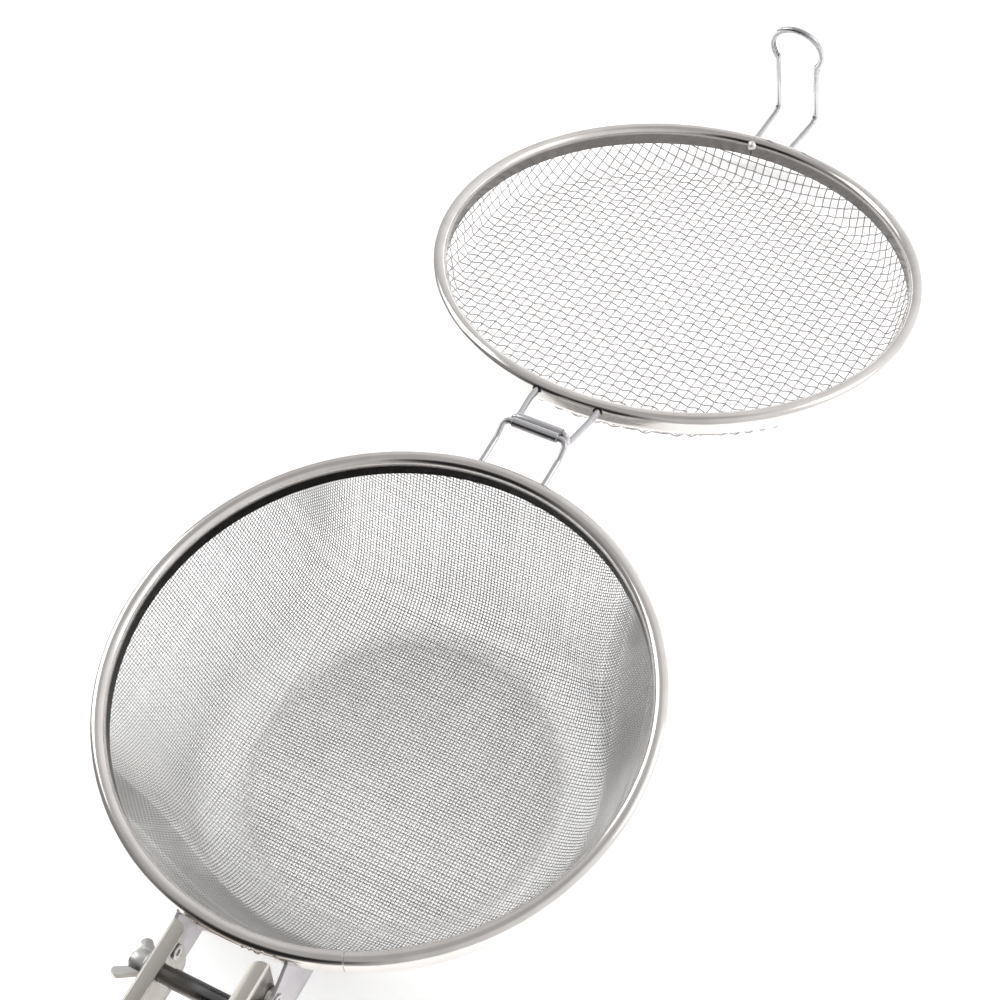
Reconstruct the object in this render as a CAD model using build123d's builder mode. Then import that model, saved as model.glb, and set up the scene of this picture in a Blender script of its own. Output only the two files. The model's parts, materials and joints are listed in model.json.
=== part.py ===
from build123d import *
import math
import os

os.makedirs("parts", exist_ok=True)

# Stovetop bean roaster: a round mesh basket with a hinged mesh lid, a wire latch
# and a folding two-rail handle. Millimetres. +Z up, the basket's flat underside
# at Z = 0 and its axis on Z, the handle along -Y, the lid hinge on the +Y side.
# The lid is folded right back, so that its dish rests on the table.
# Heights and depths below are measured from a rim's mouth plane.

# ------------------------------------------------------------ rims and meshes
RIM_R = 78.0          # outer radius of both rims
RIM_W = 4.75          # width of a rolled rim
RIM_H = 6.3           # height of a rolled rim
RIM_T = 0.6           # sheet thickness of the rims
CURL_R = 1.6          # outer radius of the curl at a rim's foot
HEM_T = 1.0           # thickness of the mesh edge held in a rim
HEM_TOP = 3.4         # depth of the held edge's upper end
BASKET_H = 57.0       # height of the basket's mouth plane over the table
BASKET_MESH_T = 0.8   # thickness of the fine mesh
WALL_SLOPE = 0.40     # how much the basket narrows per mm of depth
FLOOR_CORNER_R = 20.0
LID_MESH_T = 1.0      # thickness of the coarse crimped mesh
LID_DEPTH = 14.5      # depth of the lid's dish
LID_FLAT_IN = 4.7     # how far the lid's flat middle starts inside its wall
LID_CORNER_R = 4.0
RUN = 0.05            # small running and seating clearance
TABLE_GAP = 0.2       # the open lid's dish rests this close to the table

# ------------------------------------------------------ wires, hinge and latch
WIRE_R = 1.0          # all three bent wires
WIRE_DEPTH = 2.4      # depth of the wire holes in the rims
WIRE_IN = 2.1         # how far a wire reaches into a rim
HOOP_X = 10.0         # half spacing of the hoops' legs at the rims
BAR_OUT = 14.2        # the basket hoop's bar, outward from its rim
BAR_DEPTH = 0.1
HOOP_RUN = 8.6        # straight run of the basket hoop's legs from the rim
BEND_R = 2.0          # centre-line radius of the wires' bends
LID_BAR_OUT = 2.68    # the lid's bar, outward from the basket's bar
LID_BAR_DROP = 1.12   # and lower than it
LID_BAR_X = 8.7       # half spacing of the lid hoop's legs at its bar
LID_BAR_BEND = 1.4
LID_GAP = 0.1         # gap between the two rims when the lid is shut
SLEEVE_LEN = 14.5     # rolled sleeve that wraps both bars
SLEEVE_T = 0.5
SLEEVE_SEAM = 0.3
LATCH_X = 6.2         # half spacing of the latch loop's legs
LATCH_RUN = 3.6       # their straight run from the lid's rim
LATCH_RISE = 3.6      # height at which they turn upright
LATCH_HEAD_N = 26.9   # height of the round head's centre
LATCH_FIT = 0.3       # gap between the shut latch and the cross rod
LATCH_SIDE_FIT = 0.5  # gap between its head and the rails' flanges

# -------------------------------------------------------- bracket and handle
PIVOT_OUT = 5.4       # the handle's pivot, outward from the rim
PIVOT_DEPTH = 12.6
LOCK_OUT = 6.6        # the lock bolt, outward from the pivot
LOCK_RISE = 0.5
FOLD_ANGLE = 90.0     # the handle folds down by this angle
RAIL_X = 14.4         # half width over the two rails
RAIL_T = 1.0          # their sheet thickness
RAIL_TOP = -1.0       # height of their flanges over the mouth plane
RAIL_H = 22.7
RAIL_LEN = 167.0
RAIL_GAP = 0.9        # gap between the flanges and the rim
FLANGE_W = 4.5
FLANGE_NOSE_R = 2.8
NOSE_SLANT = 1.8      # the rails' front edges lean back by this much
NOSE_DEPTH = 15.0     # and turn round to the lower edge from here
NOSE_FOOT = 5.8
PLATE_GAP = 1.2       # gap between a rail and its bracket plate
PLATE_T = 1.0
PLATE_DEPTH = 25.5
PLATE_WALL = 1.9      # metal left round the slot and the bolt
PLATE_SHOULDER = 2.0  # height of the plate over the bolt on the basket's side
PLATE_FOOT_R = 6.0
PLATE_MESH_FIT = 0.25
SLOT_FIT = 0.15       # side clearance of the bolt in the curved slot
PIVOT_R = 1.5         # tubular pivot rivets
PIVOT_BORE_R = 0.9
PIVOT_COLLAR_R = 2.1
PIVOT_COLLAR_T = 0.6
PIVOT_WASHER_R = 3.2

# ---------------------------------------------------------------- lock bolt
BOLT_R = 2.0
BOLT_TIP = 0.5        # how far the bolt stands out of the wing nut
BOLT_HEAD_R = 3.6
BOLT_HEAD_H = 2.8
BOLT_SLOT_W = 0.9
BOLT_SLOT_H = 0.8
ROD_R = 2.65          # spacer tube between the rails
ROD_STEP = 0.2        # the tube's turned-down end
ROD_STEP_LEN = 3.2
WASHER_R = 4.5
WASHER_T = 0.9
NUT_HUB_R = 3.9
NUT_HUB_H = 4.4
WING_SPAN = 9.8       # from the axis to a wing's tip
WING_RISE = 9.4       # how far the wings lean out from the hub's foot
WING_T = 1.6
WING_TURN = -30.0     # direction of the wings about the bolt

# ------------------------------------------------------------- wooden grip
GRIP_TENON = 46.0     # length held between the rails
GRIP_LEN = 106.0      # length outside the rails
GRIP_W = 29.0
GRIP_H = 25.0
GRIP_EDGE_R = 9.0
GRIP_END_R = 6.0
GRIP_FIT = 0.3
GRIP_RIVET_R = 2.0
GRIP_RIVET_HEAD_R = 3.6
GRIP_RIVET_HEAD_H = 1.2
GRIP_RIVET_FIRST = 12.0   # from the tenon's end to the first rivet
GRIP_RIVET_PITCH = 22.0

# ------------------------------------------------------------ derived places
hem_r = RIM_R - RIM_W + RIM_T + RUN + HEM_T
hem_foot = -RIM_H - 0.3
wire_start = RIM_R - WIRE_IN
basket_bar = (RIM_R + BAR_OUT, -BAR_DEPTH)
lid_bar = (basket_bar[0] + LID_BAR_OUT, basket_bar[1] - LID_BAR_DROP)
lid_bar_n = LID_GAP - lid_bar[1]
pivot = (-RIM_R - PIVOT_OUT, -PIVOT_DEPTH)
lock = (pivot[0] - LOCK_OUT, pivot[1] + LOCK_RISE)
rail_front = -RIM_R - RAIL_GAP
rail_end = rail_front - RAIL_LEN
rail_low = RAIL_TOP - RAIL_H
plate_x = RAIL_X + PLATE_GAP
nut_x = plate_x + PLATE_T + RUN + WASHER_T + RUN
flange_x = RAIL_X - FLANGE_W
slot_w = 2 * (BOLT_R + SLOT_FIT)
rod_half = RAIL_X - RAIL_T - RUN
latch_head_r = flange_x - LATCH_SIDE_FIT - WIRE_R
latch_out = -lock[0] + ROD_R + LATCH_FIT + WIRE_R
tenon_start = rail_end + GRIP_TENON
grip_z = (RAIL_TOP - RAIL_T + rail_low) / 2
grip_rivet_ys = [tenon_start - GRIP_RIVET_FIRST - i * GRIP_RIVET_PITCH for i in range(2)]


def corner_arc(a, b, c, radius):
    """The arc that rounds corner b: its start, its middle, its end."""
    a, b, c = Vector(*a), Vector(*b), Vector(*c)
    u, v = (a - b).normalized(), (c - b).normalized()
    half = math.acos(max(-1.0, min(1.0, u.dot(v)))) / 2
    reach = radius / math.tan(half)
    middle = (u + v).normalized()
    centre = b + middle * (radius / math.sin(half))
    return b + u * reach, centre - middle * radius, b + v * reach


def wire_path(points, radii):
    """A bent wire's centre line: straight runs joined by round bends."""
    start = Vector(*points[0])
    for i in range(1, len(points) - 1):
        first, mid, last = corner_arc(points[i - 1], points[i], points[i + 1], radii[i - 1])
        Line(start, first)
        ThreePointArc(first, mid, last)
        start = last
    Line(start, Vector(*points[-1]))


def rim_profile():
    """Section of a rolled rim: a round crown, an inner skirt, and an outer wall
    that curls in under the mesh edge."""
    r_in = RIM_R - RIM_W
    r_mid = RIM_R - RIM_W / 2
    crown = RIM_W / 2
    curl_y = CURL_R - RIM_H
    curl_x = RIM_R - CURL_R
    curl_in = CURL_R - RIM_T
    tip_x = hem_r + RUN
    diag = math.sqrt(0.5)
    with BuildLine() as outline:
        Polyline((tip_x, RIM_T - RIM_H), (tip_x, -RIM_H), (curl_x, -RIM_H))
        ThreePointArc((curl_x, -RIM_H), (curl_x + CURL_R * diag, curl_y - CURL_R * diag), (RIM_R, curl_y))
        Line((RIM_R, curl_y), (RIM_R, -crown))
        ThreePointArc((RIM_R, -crown), (r_mid, 0), (r_in, -crown))
        Polyline((r_in, -crown), (r_in, -RIM_H), (r_in + RIM_T, -RIM_H), (r_in + RIM_T, -crown))
        ThreePointArc((r_in + RIM_T, -crown), (r_mid, -RIM_T), (RIM_R - RIM_T, -crown))
        Line((RIM_R - RIM_T, -crown), (RIM_R - RIM_T, curl_y))
        ThreePointArc((RIM_R - RIM_T, curl_y), (curl_x + curl_in * diag, curl_y - curl_in * diag),
                      (curl_x, RIM_T - RIM_H))
        Line((curl_x, RIM_T - RIM_H), (tip_x, RIM_T - RIM_H))
    make_face(outline.edges())


def wire_holes(spacing, side):
    """The pair of holes where a bent wire enters a rim's outer wall."""
    for x in (-spacing, spacing):
        with Locations(Location((x, side * RIM_R, -WIRE_DEPTH), (90, 0, 0))):
            Cylinder(WIRE_R + RUN, 2 * WIRE_IN, mode=Mode.SUBTRACT)


def dish_profile(outer, inner):
    """Section of a mesh shell: the held hem, the wall and the round corner, each
    given as (foot radius, floor depth, corner radius) outside and inside."""
    hem_in = hem_r - HEM_T
    with BuildLine() as outline:
        o1, om, o2 = corner_arc((hem_r, hem_foot, 0), (outer[0], outer[1], 0), (0, outer[1], 0), outer[2])
        i1, im, i2 = corner_arc((hem_in, inner[3], 0), (inner[0], inner[1], 0), (0, inner[1], 0), inner[2])
        Polyline((hem_r, -HEM_TOP), (hem_r, hem_foot), (o1.X, o1.Y))
        ThreePointArc(o1, om, o2)
        Polyline((o2.X, o2.Y), (0, outer[1]), (0, inner[1]), (i2.X, i2.Y))
        ThreePointArc(i2, im, i1)
        Polyline((i1.X, i1.Y), (hem_in, inner[3]), (hem_in, -HEM_TOP), (hem_r, -HEM_TOP))
    make_face(outline.edges())


# The lid is modelled in a frame of its own: centre at the origin, mouth plane at
# height 0, hinge on its -Y side. It is placed so that the open lid leans down
# about its bar until the far corner of its dish rests on the table.
lid_foot_r = hem_r - LID_FLAT_IN
_, _, lid_flat_end = corner_arc((hem_r, hem_foot, 0), (lid_foot_r, -LID_DEPTH, 0), (0, -LID_DEPTH, 0), LID_CORNER_R)
corner_u = lid_bar[0] + lid_flat_end.X
corner_n = lid_bar_n + LID_DEPTH - LID_CORNER_R
drop = BASKET_H + lid_bar[1] - LID_CORNER_R - TABLE_GAP
lid_tilt = math.asin(drop / math.hypot(corner_u, corner_n)) - math.atan2(corner_n, corner_u)
lid_y = lid_bar[0] + lid_bar[0] * math.cos(lid_tilt) - lid_bar_n * math.sin(lid_tilt)
lid_z = BASKET_H + lid_bar[1] - lid_bar[0] * math.sin(lid_tilt) - lid_bar_n * math.cos(lid_tilt)
lid_place = Location((0, lid_y, lid_z)) * Location((0, 0, 0), (-math.degrees(lid_tilt), 0, 0))
basket_place = Location((0, 0, BASKET_H))
print("lid tilt", round(math.degrees(lid_tilt), 4), "lid centre", round(lid_y, 4), round(lid_z, 4))
print("lid bar", lid_bar, "pivot", pivot, "lock", lock, "latch", latch_out, latch_head_r)

# ---------------------------------------------------------------- basket mesh
slant_t = BASKET_MESH_T * math.hypot(1, WALL_SLOPE)
foot_r = hem_r - WALL_SLOPE * (BASKET_H + hem_foot)
foot_in = foot_r - slant_t + WALL_SLOPE * BASKET_MESH_T
hem_in_foot = hem_foot - (HEM_T - slant_t) / WALL_SLOPE
with BuildPart() as basket_mesh:
    with BuildSketch(Plane.XZ):
        dish_profile((foot_r, -BASKET_H, FLOOR_CORNER_R),
                     (foot_in, BASKET_MESH_T - BASKET_H, FLOOR_CORNER_R - BASKET_MESH_T, hem_in_foot))
    revolve(axis=Axis.Z)
basket_mesh.part = basket_mesh.part.moved(basket_place)

# ----------------------------------------------------------------- basket rim
with BuildPart() as basket_rim:
    with BuildSketch(Plane.XZ):
        rim_profile()
    revolve(axis=Axis.Z)
    wire_holes(HOOP_X, 1)
basket_rim.part = basket_rim.part.moved(basket_place)

# --------------------------------------------------- hinge hoop of the basket
hoop_knee = RIM_R + HOOP_RUN
with BuildPart() as basket_hoop:
    with BuildLine() as basket_hoop_line:
        wire_path(
            [(-HOOP_X, wire_start, -WIRE_DEPTH), (-HOOP_X, hoop_knee, -WIRE_DEPTH),
             (-HOOP_X, *basket_bar), (HOOP_X, *basket_bar),
             (HOOP_X, hoop_knee, -WIRE_DEPTH), (HOOP_X, wire_start, -WIRE_DEPTH)],
            [BEND_R] * 4)
    with BuildSketch(Plane(origin=(-HOOP_X, wire_start, -WIRE_DEPTH), z_dir=(0, 1, 0))):
        Circle(WIRE_R)
    sweep(path=basket_hoop_line.line)
basket_hoop.part = basket_hoop.part.moved(basket_place)

# -------------------------------------- rolled sleeve that joins the two bars
with BuildPart() as hinge_sleeve:
    with BuildSketch(Plane.YZ.offset(-SLEEVE_LEN / 2)):
        sleeve_turn = math.degrees(math.atan2(-LID_BAR_DROP, LID_BAR_OUT))
        sleeve_mid = ((lid_bar[0] + basket_bar[0]) / 2, (lid_bar[1] + basket_bar[1]) / 2)
        with Locations(Location((*sleeve_mid, 0), (0, 0, sleeve_turn))):
            SlotCenterToCenter(math.hypot(LID_BAR_OUT, LID_BAR_DROP), 2 * (WIRE_R + RUN + SLEEVE_T))
        with Locations(basket_bar, lid_bar):
            Circle(WIRE_R + RUN, mode=Mode.SUBTRACT)
        # the open seam of the rolled sheet, under the basket's bar
        with Locations((basket_bar[0], basket_bar[1] - WIRE_R - SLEEVE_T / 2)):
            Rectangle(SLEEVE_SEAM, 2 * SLEEVE_T, mode=Mode.SUBTRACT)
    extrude(amount=SLEEVE_LEN)
hinge_sleeve.part = hinge_sleeve.part.moved(basket_place)

# ------------------------------------------------------------------- the lid
with BuildPart() as lid_mesh:
    with BuildSketch(Plane.XZ):
        dish_profile((lid_foot_r, -LID_DEPTH, LID_CORNER_R),
                     (lid_foot_r - LID_MESH_T, LID_MESH_T - LID_DEPTH, LID_CORNER_R - LID_MESH_T, hem_foot))
    revolve(axis=Axis.Z)
lid_mesh.part = lid_mesh.part.moved(lid_place)

with BuildPart() as lid_rim:
    with BuildSketch(Plane.XZ):
        rim_profile()
    revolve(axis=Axis.Z)
    wire_holes(HOOP_X, -1)
    wire_holes(LATCH_X, 1)
lid_rim.part = lid_rim.part.moved(lid_place)

# The lid's hoop. Its legs leave the rim, draw together and bend down to the bar
# that turns in the sleeve, so they lie over the basket's hoop in the shut lid.
lid_knee = RIM_R + 2 * BEND_R
with BuildPart() as lid_hoop:
    with BuildLine() as lid_hoop_line:
        wire_path(
            [(-HOOP_X, -wire_start, -WIRE_DEPTH), (-HOOP_X, -lid_knee, -WIRE_DEPTH),
             (-LID_BAR_X, -lid_bar[0], -WIRE_DEPTH), (-LID_BAR_X, -lid_bar[0], lid_bar_n),
             (LID_BAR_X, -lid_bar[0], lid_bar_n), (LID_BAR_X, -lid_bar[0], -WIRE_DEPTH),
             (HOOP_X, -lid_knee, -WIRE_DEPTH), (HOOP_X, -wire_start, -WIRE_DEPTH)],
            [3 * BEND_R, BEND_R, LID_BAR_BEND, LID_BAR_BEND, BEND_R, 3 * BEND_R])
    with BuildSketch(Plane(origin=(-HOOP_X, -wire_start, -WIRE_DEPTH), z_dir=(0, -1, 0))):
        Circle(WIRE_R)
    sweep(path=lid_hoop_line.line)
lid_hoop.part = lid_hoop.part.moved(lid_place)

# The latch: a keyhole-shaped wire loop. It stands up from the open lid. Shut, it
# hangs between the handle's flanges, just outside the cross rod.
head_low = -38.0
head_side = math.radians(head_low)
neck_top = LATCH_HEAD_N + 1.5 * latch_head_r * math.sin(head_side)
with BuildPart() as latch_loop:
    with BuildLine() as latch_line:
        left = [(-LATCH_X, wire_start, -WIRE_DEPTH), (-LATCH_X, RIM_R + LATCH_RUN, -WIRE_DEPTH),
                (-LATCH_X, latch_out, LATCH_RISE), (-LATCH_X, latch_out, neck_top)]
        right = [(-x, y, n) for x, y, n in reversed(left)]
        head = [(latch_head_r * math.cos(a), latch_out, LATCH_HEAD_N + latch_head_r * math.sin(a))
                for a in (math.pi - head_side, math.pi / 2, head_side)]
        outward = (math.sin(head_side), 0, math.cos(head_side))
        inward = (math.sin(head_side), 0, -math.cos(head_side))
        wire_path(left, [2 * BEND_R, 1.5 * BEND_R])
        Spline(left[-1], head[0], tangents=[(0, 0, 1), outward])
        ThreePointArc(*head)
        Spline(head[2], right[0], tangents=[inward, (0, 0, -1)])
        wire_path(right, [1.5 * BEND_R, 2 * BEND_R])
    with BuildSketch(Plane(origin=left[0], z_dir=(0, 1, 0))):
        Circle(WIRE_R)
    sweep(path=latch_line.line)
latch_loop.part = latch_loop.part.moved(lid_place)


# --------------------------------------------- bracket plates under the rim
def mesh_clear_y(depth):
    """Where a plate's inner edge just clears the basket's wall at this depth."""
    radius = hem_r - WALL_SLOPE * max(0.0, depth + hem_foot) + PLATE_MESH_FIT
    return -math.sqrt(radius ** 2 - plate_x ** 2)


def about(centre, radius, degrees):
    angle = math.radians(degrees)
    return (centre[0] + radius * math.cos(angle), centre[1] + radius * math.sin(angle))


def bracket_outline():
    """A plate: sloping top edge, round end about the lock bolt, flat foot."""
    lobe_r = slot_w / 2 + PLATE_WALL
    end_y = lock[0] - lobe_r
    diag = PLATE_FOOT_R * (1 - math.sqrt(0.5))
    seat = -RIM_H - RUN
    with BuildLine() as outline:
        Polyline((mesh_clear_y(RIM_H), seat), (-RIM_R + PLATE_SHOULDER, seat),
                 (pivot[0], lock[1] + PLATE_SHOULDER), about(lock, lobe_r, 70))
        ThreePointArc(about(lock, lobe_r, 70), about(lock, lobe_r, 135), (end_y, lock[1]))
        Line((end_y, lock[1]), (end_y, PLATE_FOOT_R - PLATE_DEPTH))
        ThreePointArc((end_y, PLATE_FOOT_R - PLATE_DEPTH), (end_y + diag, diag - PLATE_DEPTH),
                      (end_y + PLATE_FOOT_R, -PLATE_DEPTH))
        Polyline((end_y + PLATE_FOOT_R, -PLATE_DEPTH), (mesh_clear_y(PLATE_DEPTH), -PLATE_DEPTH),
                 (mesh_clear_y(RIM_H), seat))
    make_face(outline.edges())


def bracket_cuts():
    """The pivot hole and the curved slot that the lock bolt swings through."""
    reach = math.hypot(LOCK_OUT, LOCK_RISE)
    half = slot_w / 2
    first = math.degrees(math.atan2(LOCK_RISE, -LOCK_OUT))
    middle, last = first + FOLD_ANGLE / 2, first + FOLD_ANGLE
    with Locations(pivot):
        Circle(PIVOT_R + RUN, mode=Mode.SUBTRACT)
    with BuildLine() as slot:
        ThreePointArc(*[about(pivot, reach + half, a) for a in (first, middle, last)])
        Line(about(pivot, reach + half, last), about(pivot, reach - half, last))
        ThreePointArc(*[about(pivot, reach - half, a) for a in (last, middle, first)])
        Line(about(pivot, reach - half, first), about(pivot, reach + half, first))
    make_face(slot.edges(), mode=Mode.SUBTRACT)
    with Locations(about(pivot, reach, first), about(pivot, reach, last)):
        Circle(half, mode=Mode.SUBTRACT)


with BuildPart() as bracket_right:
    with BuildSketch(Plane.YZ.offset(plate_x)):
        bracket_outline()
        bracket_cuts()
    extrude(amount=PLATE_T)
bracket_right.part = bracket_right.part.moved(basket_place)

with BuildPart() as bracket_left:
    with BuildSketch(Plane.YZ.offset(-plate_x - PLATE_T)):
        bracket_outline()
        bracket_cuts()
    extrude(amount=PLATE_T)
bracket_left.part = bracket_left.part.moved(basket_place)


# ------------------------------------------- tubular rivets and their washers
def across(x, place):
    """A place on an axis that runs along X."""
    return Location((x, *place), (0, 90, 0))


def eyelet(side):
    """A tubular rivet through one rail and one plate, rolled over both ways."""
    inner = rod_half - PIVOT_COLLAR_T
    outer = plate_x + PLATE_T + PIVOT_COLLAR_T
    with Locations(across(side * (inner + outer) / 2, pivot)):
        Cylinder(PIVOT_R, outer - inner)
    for x in (inner + PIVOT_COLLAR_T / 2, outer - PIVOT_COLLAR_T / 2):
        with Locations(across(side * x, pivot)):
            Cylinder(PIVOT_COLLAR_R, PIVOT_COLLAR_T)
    with Locations(across(side * (inner + outer) / 2, pivot)):
        Cylinder(PIVOT_BORE_R, 2 * outer, mode=Mode.SUBTRACT)


with BuildPart() as pivot_rivet_right:
    eyelet(1)
pivot_rivet_right.part = pivot_rivet_right.part.moved(basket_place)

with BuildPart() as pivot_rivet_left:
    eyelet(-1)
pivot_rivet_left.part = pivot_rivet_left.part.moved(basket_place)

with BuildPart() as pivot_washers:
    for side in (-1, 1):
        with Locations(across(side * (RAIL_X + PLATE_GAP / 2), pivot)):
            Cylinder(PIVOT_WASHER_R, PLATE_GAP - 2 * RUN)
            Cylinder(PIVOT_R + RUN, PLATE_GAP, mode=Mode.SUBTRACT)
pivot_washers.part = pivot_washers.part.moved(basket_place)


# ------------------------------------------------------------ handle rails
def rail_web():
    """Side view of a rail: a trimmed front end and a long straight strip."""
    nose = (rail_front - NOSE_SLANT, -NOSE_DEPTH)
    foot = (rail_front - NOSE_SLANT - NOSE_FOOT, rail_low)
    back_r = 3 * RAIL_T
    back = (rail_end + back_r, rail_low + back_r)
    with BuildLine() as outline:
        Line((rail_front, RAIL_TOP), nose)
        Spline(nose, foot, tangents=[(-0.15, -1), (-1, 0)])
        Line(foot, (back[0], rail_low))
        ThreePointArc((back[0], rail_low), about(back, back_r, 225), (rail_end, back[1]))
        Polyline((rail_end, back[1]), (rail_end, RAIL_TOP), (rail_front, RAIL_TOP))
    make_face(outline.edges())
    with Locations(pivot):
        Circle(PIVOT_R + RUN, mode=Mode.SUBTRACT)
    with Locations(lock):
        Circle(BOLT_R + RUN, mode=Mode.SUBTRACT)
    with Locations(*[(y, grip_z) for y in grip_rivet_ys]):
        Circle(GRIP_RIVET_R + RUN, mode=Mode.SUBTRACT)


with BuildPart() as arm_right:
    with BuildSketch(Plane.YZ.offset(RAIL_X - RAIL_T)):
        rail_web()
    extrude(amount=RAIL_T)
    with BuildSketch(Plane.XY.offset(RAIL_TOP - RAIL_T)):
        with Locations((RAIL_X - FLANGE_W / 2, rail_front - RAIL_LEN / 2)):
            Rectangle(FLANGE_W, RAIL_LEN)
    extrude(amount=RAIL_T)
    long_edges = arm_right.edges().filter_by(Axis.Y)
    fillet(long_edges.group_by(Axis.Z)[-1].sort_by(Axis.X)[-1], 0.9 * RAIL_T)
    fillet(arm_right.edges().filter_by(Axis.Z).group_by(Axis.X)[0], FLANGE_NOSE_R)
arm_right.part = arm_right.part.moved(basket_place)

with BuildPart() as arm_left:
    add(arm_right.part.mirror(Plane.YZ))

# --------------------------------------------- lock bolt, rod and wing nut
bolt_tip_x = -nut_x - NUT_HUB_H - BOLT_TIP
with BuildPart() as lock_bolt:
    with Locations(across((bolt_tip_x + nut_x) / 2, lock)):
        Cylinder(BOLT_R, nut_x - bolt_tip_x)
    with Locations(across(nut_x + BOLT_HEAD_H / 2, lock)):
        Cylinder(BOLT_HEAD_R, BOLT_HEAD_H)
    fillet(lock_bolt.edges().filter_by(GeomType.CIRCLE).sort_by(Axis.X)[-1], BOLT_HEAD_H / 2)
    with Locations(Location((nut_x + BOLT_HEAD_H, *lock))):
        Box(2 * BOLT_SLOT_H, BOLT_SLOT_W, 2 * BOLT_HEAD_R, mode=Mode.SUBTRACT)
lock_bolt.part = lock_bolt.part.moved(basket_place)

with BuildPart() as cross_rod:
    with Locations(across(ROD_STEP_LEN / 2, lock)):
        Cylinder(ROD_R, 2 * rod_half - ROD_STEP_LEN)
    with Locations(across(ROD_STEP_LEN / 2 - rod_half, lock)):
        Cylinder(ROD_R - ROD_STEP, ROD_STEP_LEN)
    with Locations(across(0, lock)):
        Cylinder(BOLT_R + RUN, 3 * rod_half, mode=Mode.SUBTRACT)
cross_rod.part = cross_rod.part.moved(basket_place)


def flat_washer(side):
    with Locations(across(side * (plate_x + PLATE_T + RUN + WASHER_T / 2), lock)):
        Cylinder(WASHER_R, WASHER_T)
        Cylinder(BOLT_R + RUN, 2 * WASHER_T, mode=Mode.SUBTRACT)


with BuildPart() as head_washer:
    flat_washer(1)
head_washer.part = head_washer.part.moved(basket_place)

with BuildPart() as nut_washer:
    flat_washer(-1)
nut_washer.part = nut_washer.part.moved(basket_place)

# The wing nut: a round hub and two wings that lean outward.
turn = math.radians(WING_TURN)
with BuildPart() as wing_nut:
    with Locations(across(-nut_x - NUT_HUB_H / 2, lock)):
        Cylinder(NUT_HUB_R, NUT_HUB_H)
    wing_plane = Plane(origin=(-nut_x, *lock), x_dir=(0, math.cos(turn), math.sin(turn)),
                       z_dir=(0, -math.sin(turn), math.cos(turn)))
    with BuildSketch(wing_plane.offset(-WING_T / 2)):
        for s in (1, -1):
            root, shoulder = BOLT_R + 2 * RUN, NUT_HUB_R - 0.5
            low_tip, high_tip = (s * WING_SPAN, 0.55 * WING_RISE), (s * 0.7 * WING_SPAN, WING_RISE)
            with BuildLine():
                Polyline((s * root, RUN), (s * shoulder, RUN), (s * 0.57 * WING_SPAN, 0.13 * WING_RISE), low_tip)
                ThreePointArc(low_tip, (s * WING_SPAN, 0.88 * WING_RISE), high_tip)
                Polyline(high_tip, (s * shoulder, NUT_HUB_H), (s * root, NUT_HUB_H), (s * root, RUN))
            make_face()
    extrude(amount=WING_T)
    with Locations(across(-nut_x - WING_RISE / 2, lock)):
        Cylinder(BOLT_R + RUN, 2 * WING_RISE, mode=Mode.SUBTRACT)
wing_nut.part = wing_nut.part.moved(basket_place)

# --------------------------------------------------------------- wooden grip
rod_w = 2 * rod_half
tenon_h = RAIL_H - RAIL_T - 2 * GRIP_FIT
body_start = rail_end - GRIP_FIT
with BuildPart() as grip:
    with BuildSketch(Plane.XZ.offset(-tenon_start)):
        with Locations((0, grip_z)):
            RectangleRounded(rod_w, tenon_h, 2.0)
    extrude(amount=tenon_start - body_start)
    with BuildSketch(Plane.XZ.offset(-body_start)):
        with Locations((0, grip_z)):
            RectangleRounded(GRIP_W, GRIP_H, GRIP_EDGE_R)
    extrude(amount=GRIP_LEN)
    fillet(grip.faces().sort_by(Axis.Y)[0].edges(), GRIP_END_R)
    with Locations(*[across(0, (y, grip_z)) for y in grip_rivet_ys]):
        Cylinder(GRIP_RIVET_R + RUN, 2 * GRIP_W, mode=Mode.SUBTRACT)
grip.part = grip.part.moved(basket_place)

with BuildPart() as grip_rivets:
    for y in grip_rivet_ys:
        with Locations(across(0, (y, grip_z))):
            Cylinder(GRIP_RIVET_R, 2 * (RAIL_X + RUN))
        with Locations(*[across(side * (RAIL_X + RUN + GRIP_RIVET_HEAD_H / 2), (y, grip_z)) for side in (-1, 1)]):
            Cylinder(GRIP_RIVET_HEAD_R, GRIP_RIVET_HEAD_H)
    rims = grip_rivets.edges().filter_by(GeomType.CIRCLE).group_by(Axis.X)
    fillet(rims[0] + rims[-1], 0.7 * GRIP_RIVET_HEAD_H)
grip_rivets.part = grip_rivets.part.moved(basket_place)

# ------------------------------------------------------------------- export
basket_mesh.part.label = "basket_mesh"
export_step(basket_mesh.part, "parts/basket_mesh.step")
basket_rim.part.label = "basket_rim"
export_step(basket_rim.part, "parts/basket_rim.step")
basket_hoop.part.label = "basket_hoop"
export_step(basket_hoop.part, "parts/basket_hoop.step")
hinge_sleeve.part.label = "hinge_sleeve"
export_step(hinge_sleeve.part, "parts/hinge_sleeve.step")
lid_mesh.part.label = "lid_mesh"
export_step(lid_mesh.part, "parts/lid_mesh.step")
lid_rim.part.label = "lid_rim"
export_step(lid_rim.part, "parts/lid_rim.step")
lid_hoop.part.label = "lid_hoop"
export_step(lid_hoop.part, "parts/lid_hoop.step")
latch_loop.part.label = "latch_loop"
export_step(latch_loop.part, "parts/latch_loop.step")
bracket_left.part.label = "bracket_left"
export_step(bracket_left.part, "parts/bracket_left.step")
bracket_right.part.label = "bracket_right"
export_step(bracket_right.part, "parts/bracket_right.step")
pivot_rivet_left.part.label = "pivot_rivet_left"
export_step(pivot_rivet_left.part, "parts/pivot_rivet_left.step")
pivot_rivet_right.part.label = "pivot_rivet_right"
export_step(pivot_rivet_right.part, "parts/pivot_rivet_right.step")
pivot_washers.part.label = "pivot_washers"
export_step(pivot_washers.part, "parts/pivot_washers.step")
arm_left.part.label = "arm_left"
export_step(arm_left.part, "parts/arm_left.step")
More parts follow.
